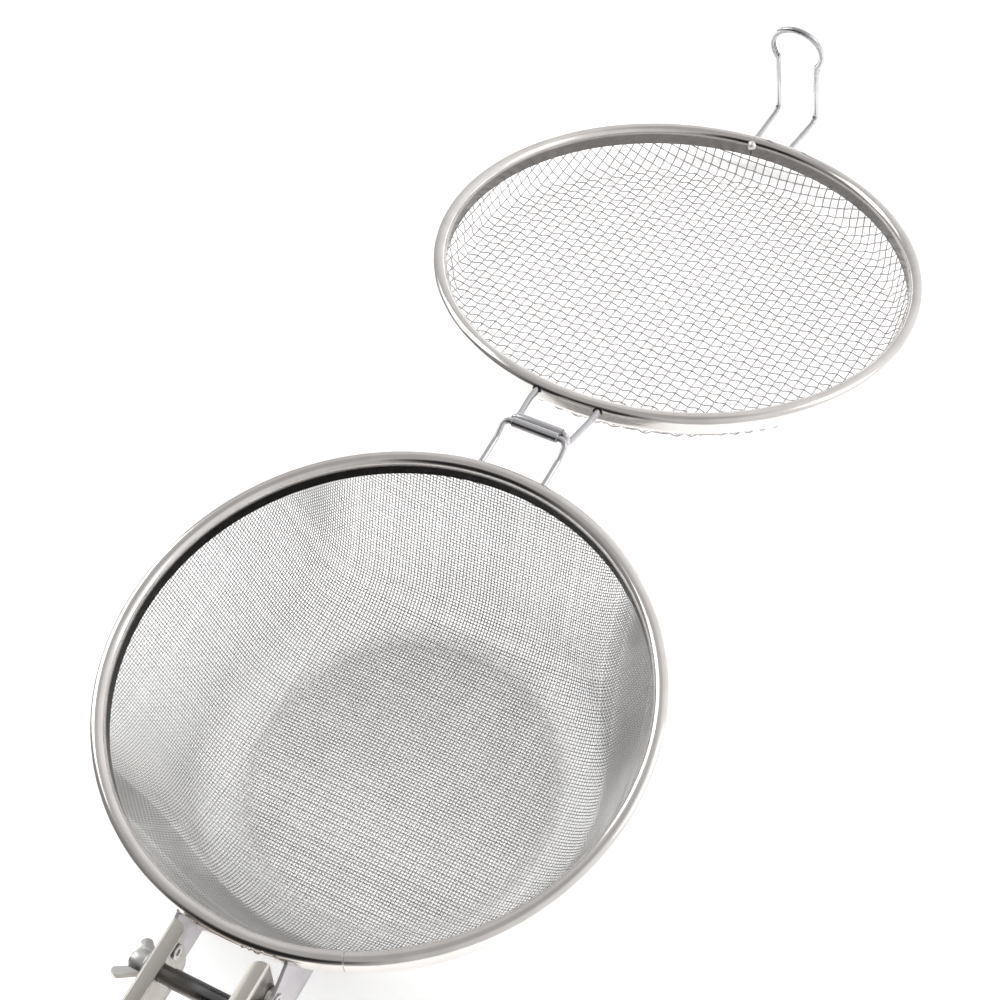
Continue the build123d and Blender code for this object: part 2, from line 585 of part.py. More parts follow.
arm_right.part.label = "arm_right"
export_step(arm_right.part, "parts/arm_right.step")
lock_bolt.part.label = "lock_bolt"
export_step(lock_bolt.part, "parts/lock_bolt.step")
cross_rod.part.label = "cross_rod"
export_step(cross_rod.part, "parts/cross_rod.step")
head_washer.part.label = "head_washer"
export_step(head_washer.part, "parts/head_washer.step")
nut_washer.part.label = "nut_washer"
export_step(nut_washer.part, "parts/nut_washer.step")
wing_nut.part.label = "wing_nut"
export_step(wing_nut.part, "parts/wing_nut.step")
grip.part.label = "grip"
export_step(grip.part, "parts/grip.step")
grip_rivets.part.label = "grip_rivets"
export_step(grip_rivets.part, "parts/grip_rivets.step")
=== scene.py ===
# %% [markdown]
# # A mesh roaster with a hinged lid and a folding handle
# The solid model of the roaster is already packed: its pieces, its joints and its
# real sizes. This lesson dresses it for a picture. Its pieces are rebuilt here
# with more detail, or copied with rounded edges, and stand in for their solid.
# Everything is in metres, in the frame of the solid model: +Z up, the table at 0,
# the handle along -Y and the lid's hinge on the +Y side.

import json
import math

import bmesh
import bpy
import numpy as np
from mathutils import Matrix, Vector


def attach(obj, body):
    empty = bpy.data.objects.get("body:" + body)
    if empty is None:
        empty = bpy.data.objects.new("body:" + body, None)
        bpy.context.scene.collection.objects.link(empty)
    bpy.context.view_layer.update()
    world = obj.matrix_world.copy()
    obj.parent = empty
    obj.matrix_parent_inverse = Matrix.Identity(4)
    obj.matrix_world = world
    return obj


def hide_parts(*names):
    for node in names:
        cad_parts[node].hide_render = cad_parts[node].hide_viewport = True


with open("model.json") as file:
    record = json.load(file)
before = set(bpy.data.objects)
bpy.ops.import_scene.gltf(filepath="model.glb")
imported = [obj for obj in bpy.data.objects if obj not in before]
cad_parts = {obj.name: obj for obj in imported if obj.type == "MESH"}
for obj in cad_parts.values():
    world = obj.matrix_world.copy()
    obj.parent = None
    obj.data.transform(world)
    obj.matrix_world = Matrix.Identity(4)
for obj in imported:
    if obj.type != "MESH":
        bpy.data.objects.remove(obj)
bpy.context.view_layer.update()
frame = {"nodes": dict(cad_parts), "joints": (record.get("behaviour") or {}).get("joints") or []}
nodes = frame["nodes"]
joints = {joint["name"]: joint for joint in frame["joints"]}
MM = 0.001
print("pieces of the solid model:", len(nodes), "joints:", len(joints))

# %% [markdown]
# ## Sizes and places
# The solid model gives every place. A few sizes are repeated here by name,
# because a rolled rim or a woven dish is easier to build from its radii than to
# measure back from triangles. The lid lies open, tilted about its hinge bar. Its
# hinge closes through half a turn plus that tilt, so the joint's range gives it.

# %% Named sizes, in millimetres
RIM_R = 78.0
RIM_W = 4.75
RIM_H = 6.3
RIM_T = 0.6
CURL_R = 1.6
HEM_R = 74.9
BASKET_H = 57.0
WALL_SLOPE = 0.40
FLOOR_CORNER_R = 20.0
LID_DEPTH = 14.5
LID_FLAT_IN = 4.7
LID_CORNER_R = 4.0
WIRE_R = 1.0
WIRE_DEPTH = 2.4
WIRE_START = RIM_R - 2.1
HOOP_X = 10.0
BEND_R = 2.0
LID_GAP = 0.1
BASKET_BAR = (RIM_R + 14.2, -0.1)
LID_BAR = (BASKET_BAR[0] + 2.68, BASKET_BAR[1] - 1.12)
PIVOT = (-RIM_R - 5.4, BASKET_H - 12.6)
LOCK = (PIVOT[0] - 6.6, PIVOT[1] + 0.5)

lid_tilt = math.radians(joints["lid_hinge"]["range_deg"][1] - 180.0)
lid_bar_n = LID_GAP - LID_BAR[1]
lid_centre = Vector((
    0.0,
    LID_BAR[0] * (1 + math.cos(lid_tilt)) - lid_bar_n * math.sin(lid_tilt),
    BASKET_H + LID_BAR[1] - LID_BAR[0] * math.sin(lid_tilt) - lid_bar_n * math.cos(lid_tilt),
))
TO_BASKET = Matrix.Scale(MM, 4) @ Matrix.Translation((0, 0, BASKET_H))
TO_LID = Matrix.Scale(MM, 4) @ Matrix.Translation(lid_centre) @ Matrix.Rotation(-lid_tilt, 4, "X")
print("open lid leans", round(math.degrees(lid_tilt), 2), "degrees, centre",
      [round(c, 2) for c in lid_centre])

# %% [markdown]
# ## The camera
# The picture is taken from above the handle's right side, looking down at about
# 56 degrees. A camera's pose is easiest to read as three directions: where its
# right side points, where its top points, and, square to both, its back.

# %% Camera
CAMERA_RIGHT = Vector((0.88069, 0.46568, -0.08672))
CAMERA_UP = Vector((-0.34417, 0.75486, 0.55833))
CAMERA_PLACE = Vector((0.1960, -0.2086, 0.5487))
FOCAL_SHARE = 2.1286      # focal length over the picture's width
FILM = 36.0               # the picture's width on the film, in millimetres

camera_data = bpy.data.cameras.new("camera")
camera = bpy.data.objects.new("camera", camera_data)
bpy.context.scene.collection.objects.link(camera)
camera_back = CAMERA_RIGHT.cross(CAMERA_UP)
camera_turn = Matrix((CAMERA_RIGHT, CAMERA_UP, camera_back)).transposed().to_4x4()
camera.matrix_world = Matrix.Translation(CAMERA_PLACE) @ camera_turn
camera_data.sensor_width = FILM
camera_data.lens = FILM * FOCAL_SHARE
camera_data.clip_start = 0.01
camera_data.clip_end = 50.0
bpy.context.scene.camera = camera
bpy.context.scene.view_settings.view_transform = "Standard"
print("lens", round(camera_data.lens, 2), "mm, looking down",
      round(math.degrees(math.asin(camera_back.z)), 1), "degrees")

# %% [markdown]
# ## A small language for shaders
# A finish is mostly arithmetic on patterns. Wrapping a node's output in a class
# with the usual operators lets that arithmetic be written as it would be on
# paper: `0.3 + 0.2 * grain`. Each operator adds one Math node. Every other node
# comes from `add`, which takes the node's type, its settings, and then the
# values or links of its inputs.


# %% Shader helper
class Value:
    """A number that varies over a surface: one output of a node."""

    def __init__(self, shader, socket):
        self.shader, self.socket = shader, socket

    def math(self, operation, *others):
        inputs = dict(enumerate((self, *others)))
        return self.shader.add("ShaderNodeMath", {"operation": operation}, inputs)["Value"]

    def __add__(self, other):
        return self.math("ADD", other)

    __radd__ = __add__

    def __mul__(self, other):
        return self.math("MULTIPLY", other)

    __rmul__ = __mul__

    def __sub__(self, other):
        return self.math("SUBTRACT", other)

    def __rsub__(self, other):
        return self.shader.add("ShaderNodeMath", {"operation": "SUBTRACT"}, {0: other, 1: self})["Value"]

    def between(self, low, high):
        """Rises smoothly from 0 at low to 1 at high."""
        settings = {"interpolation_type": "SMOOTHSTEP"}
        inputs = {"Value": self, "From Min": low, "From Max": high}
        return self.shader.add("ShaderNodeMapRange", settings, inputs)["Result"]


class Made:
    """A node that was added, whose outputs are read by name."""

    def __init__(self, shader, node):
        self.shader, self.node = shader, node

    def __getitem__(self, name):
        return Value(self.shader, self.node.outputs[name])


# a colour Mix node has several inputs of the same name, so they are reached by number
MIX_SHARE, MIX_FIRST, MIX_SECOND, MIX_RESULT = 0, 6, 7, 2


class Shader:
    """The nodes of a material or of the world."""

    def __init__(self, owner):
        owner.use_nodes = True
        self.owner, self.tree = owner, owner.node_tree
        self.tree.nodes.clear()

    def add(self, kind, settings=None, inputs=None):
        node = self.tree.nodes.new(kind)
        for key, setting in (settings or {}).items():
            if key == "stops":
                ramp = node.color_ramp
                while len(ramp.elements) > 1:
                    ramp.elements.remove(ramp.elements[-1])
                for index, (place, colour) in enumerate(setting):
                    stop = ramp.elements[0] if index == 0 else ramp.elements.new(place)
                    stop.position = place
                    stop.color = (*colour, 1.0)
            else:
                setattr(node, key, setting)
        for key, value in (inputs or {}).items():
            if isinstance(value, Value):
                self.tree.links.new(value.socket, node.inputs[key])
            else:
                node.inputs[key].default_value = value
        return Made(self, node)

    def place(self, scale=(1, 1, 1), source="Object"):
        """Where a point lies on the piece, stretched for a pattern."""
        at = self.add("ShaderNodeTexCoord")[source]
        return self.add("ShaderNodeMapping", {}, {"Vector": at, "Scale": scale})["Vector"]

    def part(self, vector, letter):
        """One coordinate of a vector."""
        return self.add("ShaderNodeSeparateXYZ", {}, {"Vector": vector})[letter]

    def along(self, vector, way):
        """How far a vector reaches along a fixed direction."""
        settings = {"operation": "DOT_PRODUCT"}
        return self.add("ShaderNodeVectorMath", settings, {0: vector, 1: way})["Value"]

    def noise(self, vector, scale, detail=3.0, roughness=0.5, distortion=0.0):
        inputs = {"Vector": vector, "Scale": scale, "Detail": detail,
                  "Roughness": roughness, "Distortion": distortion}
        return self.add("ShaderNodeTexNoise", {}, inputs)["Fac"]

    def mix(self, share, first, second):
        """A colour between two colours."""
        made = self.add("ShaderNodeMix", {"data_type": "RGBA"})
        for index, value in ((MIX_SHARE, share), (MIX_FIRST, first), (MIX_SECOND, second)):
            if isinstance(value, Value):
                self.tree.links.new(value.socket, made.node.inputs[index])
            else:
                made.node.inputs[index].default_value = (*value, 1.0)
        return Value(self, made.node.outputs[MIX_RESULT])

    def bump(self, height, distance):
        inputs = {"Height": height, "Distance": distance, "Strength": 1.0}
        return self.add("ShaderNodeBump", {}, inputs)["Normal"]

    def finish(self, surface):
        self.add("ShaderNodeOutputMaterial", {}, {"Surface": surface})
        return self.owner

    def principled(self, **sockets):
        inputs = {key.replace("_", " "): value for key, value in sockets.items()}
        if isinstance(inputs.get("Base Color"), tuple):
            inputs["Base Color"] = (*inputs["Base Color"], 1.0)
        return self.add("ShaderNodeBsdfPrincipled", {}, inputs)["BSDF"]


print("shader helper:", [name for name in vars(Shader) if not name.startswith("__")])

# %% [markdown]
# ## Metals
# The roaster is nearly all stainless steel, in different states: mirror-bright
# rolled rims, drawn wire, satin rails, and duller plates that were cut and welded.
# One function makes them all. Brushing is noise squeezed across the direction of
# the scratches, so it needs to know which way the metal was worked. On the rims
# that way follows the ring, so they carry a UV map: u along, v across. Across the
# ring, v also places a painted dark reflection on each rim's inner face.


# %% Metal finishes
# the painted dark reflection on a rim's inner face starts here too
LIP_START = 12.8 * MM     # where a rim's inner face begins, measured over the crown from the curl
LIP_FADE = 1.4 * MM
# the colour of the painted dark reflection on a rim's inner face
PAINTED_REFLECTION_DARK = (0.012, 0.010, 0.009)
TONE_SCALE = 90.0         # patches of tone per metre
SCRATCH_TONE = 0.25       # how much a scratch darkens the metal


def metal(name, colour, shade, rough, rough_spread, scratch_scale, scratch_depth,
          source="Object", blotch=0.25, painted_reflection=0.0):
    """Worked metal: fine scratches and a slow change of tone over them.

    Roughness and scratch scale are plain numbers, the scratches' depth is in metres.
    painted_reflection is the share of a painted dark reflection on a rim's inner face.
    """
    s = Shader(bpy.data.materials.new(name))
    scratches = s.noise(s.place(scratch_scale, source=source), 1.0, 4.0, 0.6)
    tone = s.noise(s.place((TONE_SCALE,) * 3), 1.0, 3.0)
    wear = tone.between(0.35, 0.7)
    base = s.mix(wear * blotch + scratches * SCRATCH_TONE, colour, shade)
    # painted reflection: the rim's inner face is blended toward a near-black colour over the fade
    if painted_reflection:
        across = s.part(s.place(source="UV"), "Y")
        base = s.mix(painted_reflection * across.between(LIP_START, LIP_START + LIP_FADE), base, PAINTED_REFLECTION_DARK)
    roughness = rough + rough_spread * (scratches - 0.5) + 0.5 * rough_spread * wear
    return s.finish(s.principled(
        Base_Color=base, Metallic=1.0, Roughness=roughness,
        Normal=s.bump(scratches, scratch_depth)))


# the basket rim carries the painted dark reflection in full, the lid rim at three quarters
basket_rim_steel, lid_rim_steel = (
    metal(name, (0.76, 0.73, 0.71), (0.52, 0.48, 0.45), 0.11, 0.12, (22, 1300, 1), 0.00004,
          source="UV", painted_reflection=painted_reflection)
    for name, painted_reflection in (("basket rim steel", 1.0), ("lid rim steel", 0.75)))
wire_steel = metal(
    "wire steel", (0.58, 0.57, 0.59), (0.38, 0.37, 0.38),
    0.22, 0.14, (300, 300, 300), 0.00003)
weave_steel = metal(
    "fine weave steel", (0.70, 0.69, 0.68), (0.50, 0.49, 0.48),
    0.36, 0.08, (700, 700, 700), 0.00001)
lid_weave_steel = metal(
    "lid weave steel", (0.62, 0.60, 0.59), (0.42, 0.41, 0.40),
    0.36, 0.08, (500, 500, 500), 0.00001)
plate_steel = metal(
    "plate steel", (0.60, 0.57, 0.59), (0.42, 0.40, 0.42),
    0.36, 0.18, (500, 500, 2600), 0.00003, blotch=0.5)
rail_steel = metal(
    "rail steel", (0.52, 0.49, 0.45), (0.40, 0.375, 0.34),
    0.27, 0.16, (2400, 40, 2400), 0.00002)
zinc = metal(
    "zinc", (0.66, 0.65, 0.64), (0.46, 0.45, 0.45),
    0.32, 0.18, (900, 900, 900), 0.00004, blotch=0.45)
dark_steel = metal(
    "dark tube steel", (0.10, 0.10, 0.105), (0.46, 0.45, 0.44),
    0.26, 0.24, (45, 900, 900), 0.00005, blotch=0.35)
print("metals:", len(bpy.data.materials))

# %% [markdown]
# ## Wood
# The grip is shaped hardwood. Its grain runs along the handle, so the noise is
# stretched along Y: wide soft bands for the growth rings, and thin dark pores
# that only run a few millimetres.


# %% Wood finish
RING_BANDS = 9.0
FIBRE_DARK = (0.27, 0.12, 0.05)
PORE_DARK = (0.12, 0.055, 0.025)
RELIEF = 0.08 * MM


def wood(name):
    s = Shader(bpy.data.materials.new(name))
    rings = s.noise(s.place((60, 5, 60)), 3.0, 3.0, 0.55, 1.2)
    fibre = s.noise(s.place((1500, 60, 1500)), 1.0, 4.0, 0.65)
    pores = s.noise(s.place((2600, 130, 2600)), 1.0, 2.0).between(0.62, 0.72)
    bands = (rings * RING_BANDS).math("FRACT")
    late, early, middle = (0.36, 0.17, 0.075), (0.50, 0.26, 0.12), (0.43, 0.21, 0.09)
    stops = [(0.0, late), (0.45, early), (0.8, middle), (1.0, late)]
    ground = s.add("ShaderNodeValToRGB", {"stops": stops}, {"Fac": bands})["Color"]
    fibred = s.mix(fibre.between(0.35, 0.75) * 0.55, ground, FIBRE_DARK)
    colour = s.mix(pores * 0.7, fibred, PORE_DARK)
    relief = fibre * 0.5 - pores * 0.6
    return s.finish(s.principled(
        Base_Color=colour, Roughness=0.42 + 0.18 * fibre,
        Normal=s.bump(relief, RELIEF), Specular_IOR_Level=0.45))


grip_wood = wood("grip wood")
print("wood nodes:", len(grip_wood.node_tree.nodes))

# %% [markdown]
# ## The table
# The picture has a plain white ground that still keeps a soft shadow. The table
# is white paper. For the camera and for what the metal mirrors its colour is a
# little above that, so that it reads as white, while the light that it throws
# back on the roaster stays that of paper.

# %% Table
FLOOR_COLOUR = 0.86
FLOOR_SEEN = 1.42         # the floor's colour for camera and mirrors, at which it reads as white
HALF_FLOOR = 1.5


def floor_material():
    s = Shader(bpy.data.materials.new("white table"))
    path = s.add("ShaderNodeLightPath")
    looked_at = path["Is Camera Ray"].math("MAXIMUM", path["Is Glossy Ray"])
    looked_at = looked_at.math("MAXIMUM", path["Is Transmission Ray"])
    paper, lit = (
        s.add("ShaderNodeBsdfDiffuse", {}, {"Color": (white, white, white, 1.0)})["BSDF"]
        for white in (FLOOR_COLOUR, FLOOR_SEEN))
    return s.finish(s.add("ShaderNodeMixShader", {}, {0: looked_at, 1: paper, 2: lit})["Shader"])


corners = [(x * HALF_FLOOR, y * HALF_FLOOR, 0.0) for x, y in ((-1, -1), (1, -1), (1, 1), (-1, 1))]
floor_mesh = bpy.data.meshes.new("floor")
floor_mesh.from_pydata(corners, [], [(0, 1, 2, 3)])
floor = bpy.data.objects.new("floor", floor_mesh)
bpy.context.scene.collection.objects.link(floor)
floor_mesh.materials.append(floor_material())
print("table:", 2 * HALF_FLOOR, "m square")

# %% [markdown]
# ## The room
# Bright metal shows its surroundings more than itself, so the room is drawn for
# what the rims mirror. Pale walls stand all round and are brighter toward the
# lid and the right, the ceiling right above is a plain grey, and behind the
# camera the room is dark. That dark side draws the black bands along the rolled
# rims. Where the camera looks straight at the room, it is white.

# %% Room
WALLS = 0.70
WALL_TILT = (0.35, 0.30, 0.0)      # how much brighter they are toward the lid and the right
CEILING = 0.50
CEILING_FROM, CEILING_FULL = 0.78, 0.97     # the height of a direction where it begins and is full
DARK = 0.02
DARK_WAY = (-0.20, -0.85, 0.48)   # from the roaster toward the dark patch
DARK_FROM, DARK_FULL = 0.82, 0.96

world = bpy.data.worlds.new("studio")
bpy.context.scene.world = world
room = Shader(world)
ray = room.add("ShaderNodeTexCoord")["Generated"]
walls = WALLS + room.along(ray, WALL_TILT)
overhead = room.part(ray, "Z").between(CEILING_FROM, CEILING_FULL)
around = walls + (CEILING - walls) * overhead
level = around + (DARK - around) * room.along(ray, DARK_WAY).between(DARK_FROM, DARK_FULL)
to_camera = room.add("ShaderNodeLightPath")["Is Camera Ray"]
strength = level * (1 - to_camera) + to_camera
light = room.add("ShaderNodeBackground", {}, {"Color": (1.0, 1.0, 1.0, 1.0), "Strength": strength})
room.add("ShaderNodeOutputWorld", {}, {"Surface": light["Background"]})
print("room nodes:", len(world.node_tree.nodes))

# %% [markdown]
# ## Lamps
# Three soft lamps light the roaster evenly and leave a faint shadow. The one
# above is large and stands for light that bounces off the ceiling, so it isn't
# mirrored. The two at the sides draw a highlight along the wires and the rails.


# %% Lamps
def softbox(name, place, target, width, height, power):
    data = bpy.data.lights.new(name, "AREA")
    data.shape = "RECTANGLE"
    data.size, data.size_y, data.energy = width, height, power
    lamp = bpy.data.objects.new(name, data)
    bpy.context.scene.collection.objects.link(lamp)
    lamp.location = place
    lamp.rotation_euler = (Vector(target) - Vector(place)).to_track_quat("-Z", "Y").to_euler()
    return lamp


fill = softbox("top fill", (-0.1, 0.3, 1.7), (0, 0.05, 0), 1.5, 1.2, 14.0)
fill.visible_glossy = False      # bounced light, with nothing in the room to mirror
softbox("left box", (-1.3, 0.3, 0.9), (0, 0.05, 0), 0.9, 0.9, 6.0)
softbox("right box", (1.2, 0.7, 0.8), (0, 0.05, 0), 0.7, 0.7, 3.0)
print("lamps:", [lamp.name for lamp in bpy.data.lights])

# %% [markdown]
# ## Turning a rule into a mesh
# The next cells need three small tools: one that makes an object from points and
# faces, one that runs a Geometry Nodes tree over it and keeps the plain mesh that
# comes out, and one that copies a solid's mesh, cleans it and rounds its edges.


# %% Mesh helpers
SAME_POINT = 1e-6         # metres
FLAT_ANGLE = 0.6          # faces that meet at less, in degrees, become one
EDGE_ANGLE = 28.0         # edges sharper than this get a rounding


def new_piece(name, points, faces, place, edges=(), smooth=None):
    """An object whose place is in its mesh. smooth is the sharpest angle that is shaded round."""
    mesh = bpy.data.meshes.new(name)
    mesh.from_pydata([place @ Vector(p) for p in points], list(edges), faces)
    mesh.validate()
    piece = bpy.data.objects.new(name, mesh)
    bpy.context.scene.collection.objects.link(piece)
    if smooth is not None:
        shade(piece, smooth)
    return piece


def shade(piece, angle):
    """Round shading, but with a crease wherever two faces meet more sharply than the angle."""
    form = bmesh.new()
    form.from_mesh(piece.data)
    for face in form.faces:
        face.smooth = True
    for edge in form.edges:
        edge.smooth = len(edge.link_faces) == 2 and edge.calc_face_angle(0.0) < math.radians(angle)
    form.to_mesh(piece.data)
    form.free()


def dress(name, node, bevel):
    """A copy of a solid with clean faces and rounded edges, standing in for it."""
    piece = bpy.data.objects.new(name, nodes[node].data.copy())
    bpy.context.scene.collection.objects.link(piece)
    piece.data.materials.clear()
    form = bmesh.new()
    form.from_mesh(piece.data)
    bmesh.ops.remove_doubles(form, verts=form.verts, dist=SAME_POINT)
    bmesh.ops.dissolve_limit(
        form, angle_limit=math.radians(FLAT_ANGLE), verts=form.verts, edges=form.edges)
    form.to_mesh(piece.data)
    form.free()
    rounding = piece.modifiers.new("edges", "BEVEL")
    rounding.width = bevel * MM
    rounding.segments = 2
    rounding.limit_method = "ANGLE"
    rounding.angle_limit = math.radians(EDGE_ANGLE)
    keep_result(piece)
    shade(piece, EDGE_ANGLE)
    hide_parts(node)
    return piece


def keep_result(piece):
    """Applies a piece's modifiers by taking the mesh that they make."""
    depsgraph = bpy.context.evaluated_depsgraph_get()
    made = bpy.data.meshes.new_from_object(piece.evaluated_get(depsgraph), depsgraph=depsgraph)
    piece.modifiers.clear()
    piece.data = made


def finish_piece(piece, body, material):
    piece.data.materials.clear()
    piece.data.materials.append(material)
    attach(piece, body)
    print(piece.name, "faces:", len(piece.data.polygons))
    return piece


print("edges sharper than", EDGE_ANGLE, "degrees are rounded")

# %% [markdown]
# ## Rolled rims
# Each rim is one strip of thin sheet, rolled round a crown and curled in under the
# mesh. Its section is the same all the way round, so it is turned on a lathe: the
# section's points, swept through a full circle. The strip's two ends meet in a
# butt joint, where the surface dips into a hairline groove. The lathe takes
# extra steps there to draw it.


# %% Rim section and lathe
HEM_GAP = 0.05
OUTER_BREAK = -3.4        # an extra point halfway down each straight side
INNER_BREAK = -4.2
LATHE_STEPS = 240
GROOVE = [(-0.16, 0.0), (-0.08, 0.10), (-0.03, 0.30),     # (degrees from the seam, depth)
          (0.03, 0.30), (0.08, 0.10), (0.16, 0.0)]


def arc(centre, radius, first, last, steps):
    """Points on an arc from one angle to another, in degrees."""
    angles = [math.radians(first + (last - first) * i / steps) for i in range(steps + 1)]
    return [(centre[0] + radius * math.cos(a), centre[1] + radius * math.sin(a)) for a in angles]


def rim_section():
    """(outer skin, inner skin) of the rolled sheet, mouth plane at height 0."""
    crown, inside = RIM_W / 2, RIM_R - RIM_W
    middle = RIM_R - crown
    curl = (RIM_R - CURL_R, CURL_R - RIM_H)
    tip = HEM_R + HEM_GAP
    outer = [(tip, -RIM_H)] + arc(curl, CURL_R, -90, 0, 8) + [(RIM_R, OUTER_BREAK)]
    outer += arc((middle, -crown), crown, 0, 180, 24) + [(inside, INNER_BREAK), (inside, -RIM_H)]
    inner = [(inside + RIM_T, -RIM_H), (inside + RIM_T, INNER_BREAK)]
    inner += arc((middle, -crown), crown - RIM_T, 180, 0, 12) + arc(curl, CURL_R - RIM_T, 0, -90, 4)
    return outer, inner + [(tip, RIM_T - RIM_H)]


def lathe(name, section, skin, place, seam):
    """Turns a closed section about Z. The first `skin` points dip at the seam's angle."""
    turns = [(360.0 * i / LATHE_STEPS, 0.0) for i in range(1, LATHE_STEPS)]
    turns = sorted([(angle % 360.0, dip) for angle, dip in GROOVE + turns])
    count = len(section)
    points, uvs = [], []
    run = [0.0]
    for a, b in zip(section, section[1:] + section[:1]):
        run.append(run[-1] + math.dist(a, b))
    for angle, dip in turns:
        a = math.radians(angle + seam)
        for index, (radius, height) in enumerate(section):
            before, after = section[index - 1], section[(index + 1) % count]
            across = Vector((after[0] - before[0], after[1] - before[1])).normalized()
            sunk = dip if index < skin else 0.0
            r, z = radius - sunk * across.y, height + sunk * across.x
            points.append((r * math.cos(a), r * math.sin(a), z))
            uvs.append((a * RIM_R * MM, run[index] * MM))
    faces = []
    for i in range(len(turns)):
        j = (i + 1) % len(turns)
        for k in range(count):
            m = (k + 1) % count
            faces.append((i * count + k, j * count + k, j * count + m, i * count + m))
    piece = new_piece(name, points, faces, place, smooth=40)
    layer = piece.data.uv_layers.new(name="along")
    for loop in piece.data.loops:
        layer.data[loop.index].uv = uvs[loop.vertex_index]
    return piece


outer_skin, inner_skin = rim_section()
print("points of the rim's section:", len(outer_skin) + len(inner_skin))

# %% [markdown]
# ## Both rims
# The basket and the lid use the same strip, so the section is turned twice. Only
# the joint's place differs: on the basket it is beside the handle, on the lid
# beside the latch.

# %% Rims
BASKET_SEAM = -66.5       # where each strip's ends meet, degrees from +X
LID_SEAM = 94.5
for rim_name, rim_node, rim_place, rim_seam, rim_body, rim_finish in (
    ("basket_rolled_rim", "basket_rim", TO_BASKET, BASKET_SEAM, "basket", basket_rim_steel),
    ("lid_rolled_rim", "lid_rim", TO_LID, LID_SEAM, "lid", lid_rim_steel),
):
    rim = lathe(rim_name, outer_skin + inner_skin, len(outer_skin), rim_place, rim_seam)
    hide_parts(rim_node)
    finish_piece(rim, rim_body, rim_finish)

# %% [markdown]
# ## Woven wire
# A woven dish starts as a flat square weave that is pressed over a form. The wires
# don't stretch. Where the dish turns up, the square cells lean over instead, and
# they lean most half-way between the two directions of wire. A fishing net
# over a bowl does the same, and the rule for it is short: the two centre wires
# run straight down the wall, and every other crossing lies one cell away from
# its two neighbours nearer the centre. So each crossing can be solved from two
# that are already known, one diagonal row after the other.


# %% Dish and net
SOLVER_STEPS = 8


class Dish:
    """A round dish: a flat middle, a round corner and a straight wall."""

    def __init__(self, floor_z, corner_r, top, foot_r):
        """top is the wall's upper end, foot_r where the wall's line meets the floor."""
        self.floor_z, self.corner_r, self.top = floor_z, corner_r, top
        self.lean = math.atan2(top[1] - floor_z, top[0] - foot_r)
        self.flat = foot_r - corner_r * math.tan(self.lean / 2)
        self.wall_start = self.flat + corner_r * self.lean
        wall_r = self.flat + corner_r * math.sin(self.lean)
        self.reach = self.wall_start + (top[0] - wall_r) / math.cos(self.lean)

    def at(self, s, turn):
        """Point and slope at a distance s from the middle, measured along the surface."""
        t = np.clip((s - self.flat) / self.corner_r, 0.0, self.lean)
        beyond = np.maximum(s - self.wall_start, 0.0)
        r = np.minimum(s, self.flat) + self.corner_r * np.sin(t) + beyond * math.cos(self.lean)
        z = self.floor_z + self.corner_r * (1 - np.cos(t)) + beyond * math.sin(self.lean)
        return np.stack([r * np.cos(turn), r * np.sin(turn), z], -1), t, r


def press_net(dish, cell):
    """Crossings of one quarter of a net pressed over the dish: distance and turn."""
    count = int(dish.reach / cell) + 4
    index = np.arange(count) * cell
    s = np.hypot(index[:, None], index[None, :])
    turn = np.arctan2(index[None, :] + 0 * s, index[:, None] + 0 * s)
    beyond = 10 * dish.reach
    for row in range(2, 2 * count - 1):
        i = np.arange(max(1, row - count + 1), min(row, count))
        j = row - i
        before = np.minimum(s[i - 1, j], s[i, j - 1]), np.maximum(s[i - 1, j], s[i, j - 1])
        s[i, j] = np.where((before[0] > dish.reach) | (before[1] == beyond), beyond, s[i, j])
        rises = (s[i, j] > dish.flat) & (s[i, j] < beyond)
        i, j = i[rises], j[rises]
        a, b = dish.at(s[i - 1, j], turn[i - 1, j])[0], dish.at(s[i, j - 1], turn[i, j - 1])[0]
        guess_s = s[i - 1, j] + s[i, j - 1] - s[i - 1, j - 1]
        guess_turn = turn[i, j] if row < 4 else turn[i - 1, j] + turn[i, j - 1] - turn[i - 1, j - 1]
        for _ in range(SOLVER_STEPS):
            p, t, r = dish.at(guess_s, guess_turn)
            along = np.stack([
                np.cos(t) * np.cos(guess_turn), np.cos(t) * np.sin(guess_turn), np.sin(t)], -1)
            around = np.stack([-r * np.sin(guess_turn), r * np.cos(guess_turn), 0 * r], -1)
            miss_a, miss_b = (np.sum((p - q) ** 2, -1) - cell ** 2 for q in (a, b))
            (sa, ta), (sb, tb) = (
                (2 * np.sum((p - q) * along, -1), 2 * np.sum((p - q) * around, -1)) for q in (a, b))
            scale = sa * tb - sb * ta
            most = cell / 2
            guess_s = guess_s - np.clip((miss_a * tb - miss_b * ta) / scale, -most, most)
            guess_turn = guess_turn - np.clip((miss_b * sa - miss_a * sb) / scale, -most / r, most / r)
        s[i, j], turn[i, j] = guess_s, guess_turn
    return s, turn


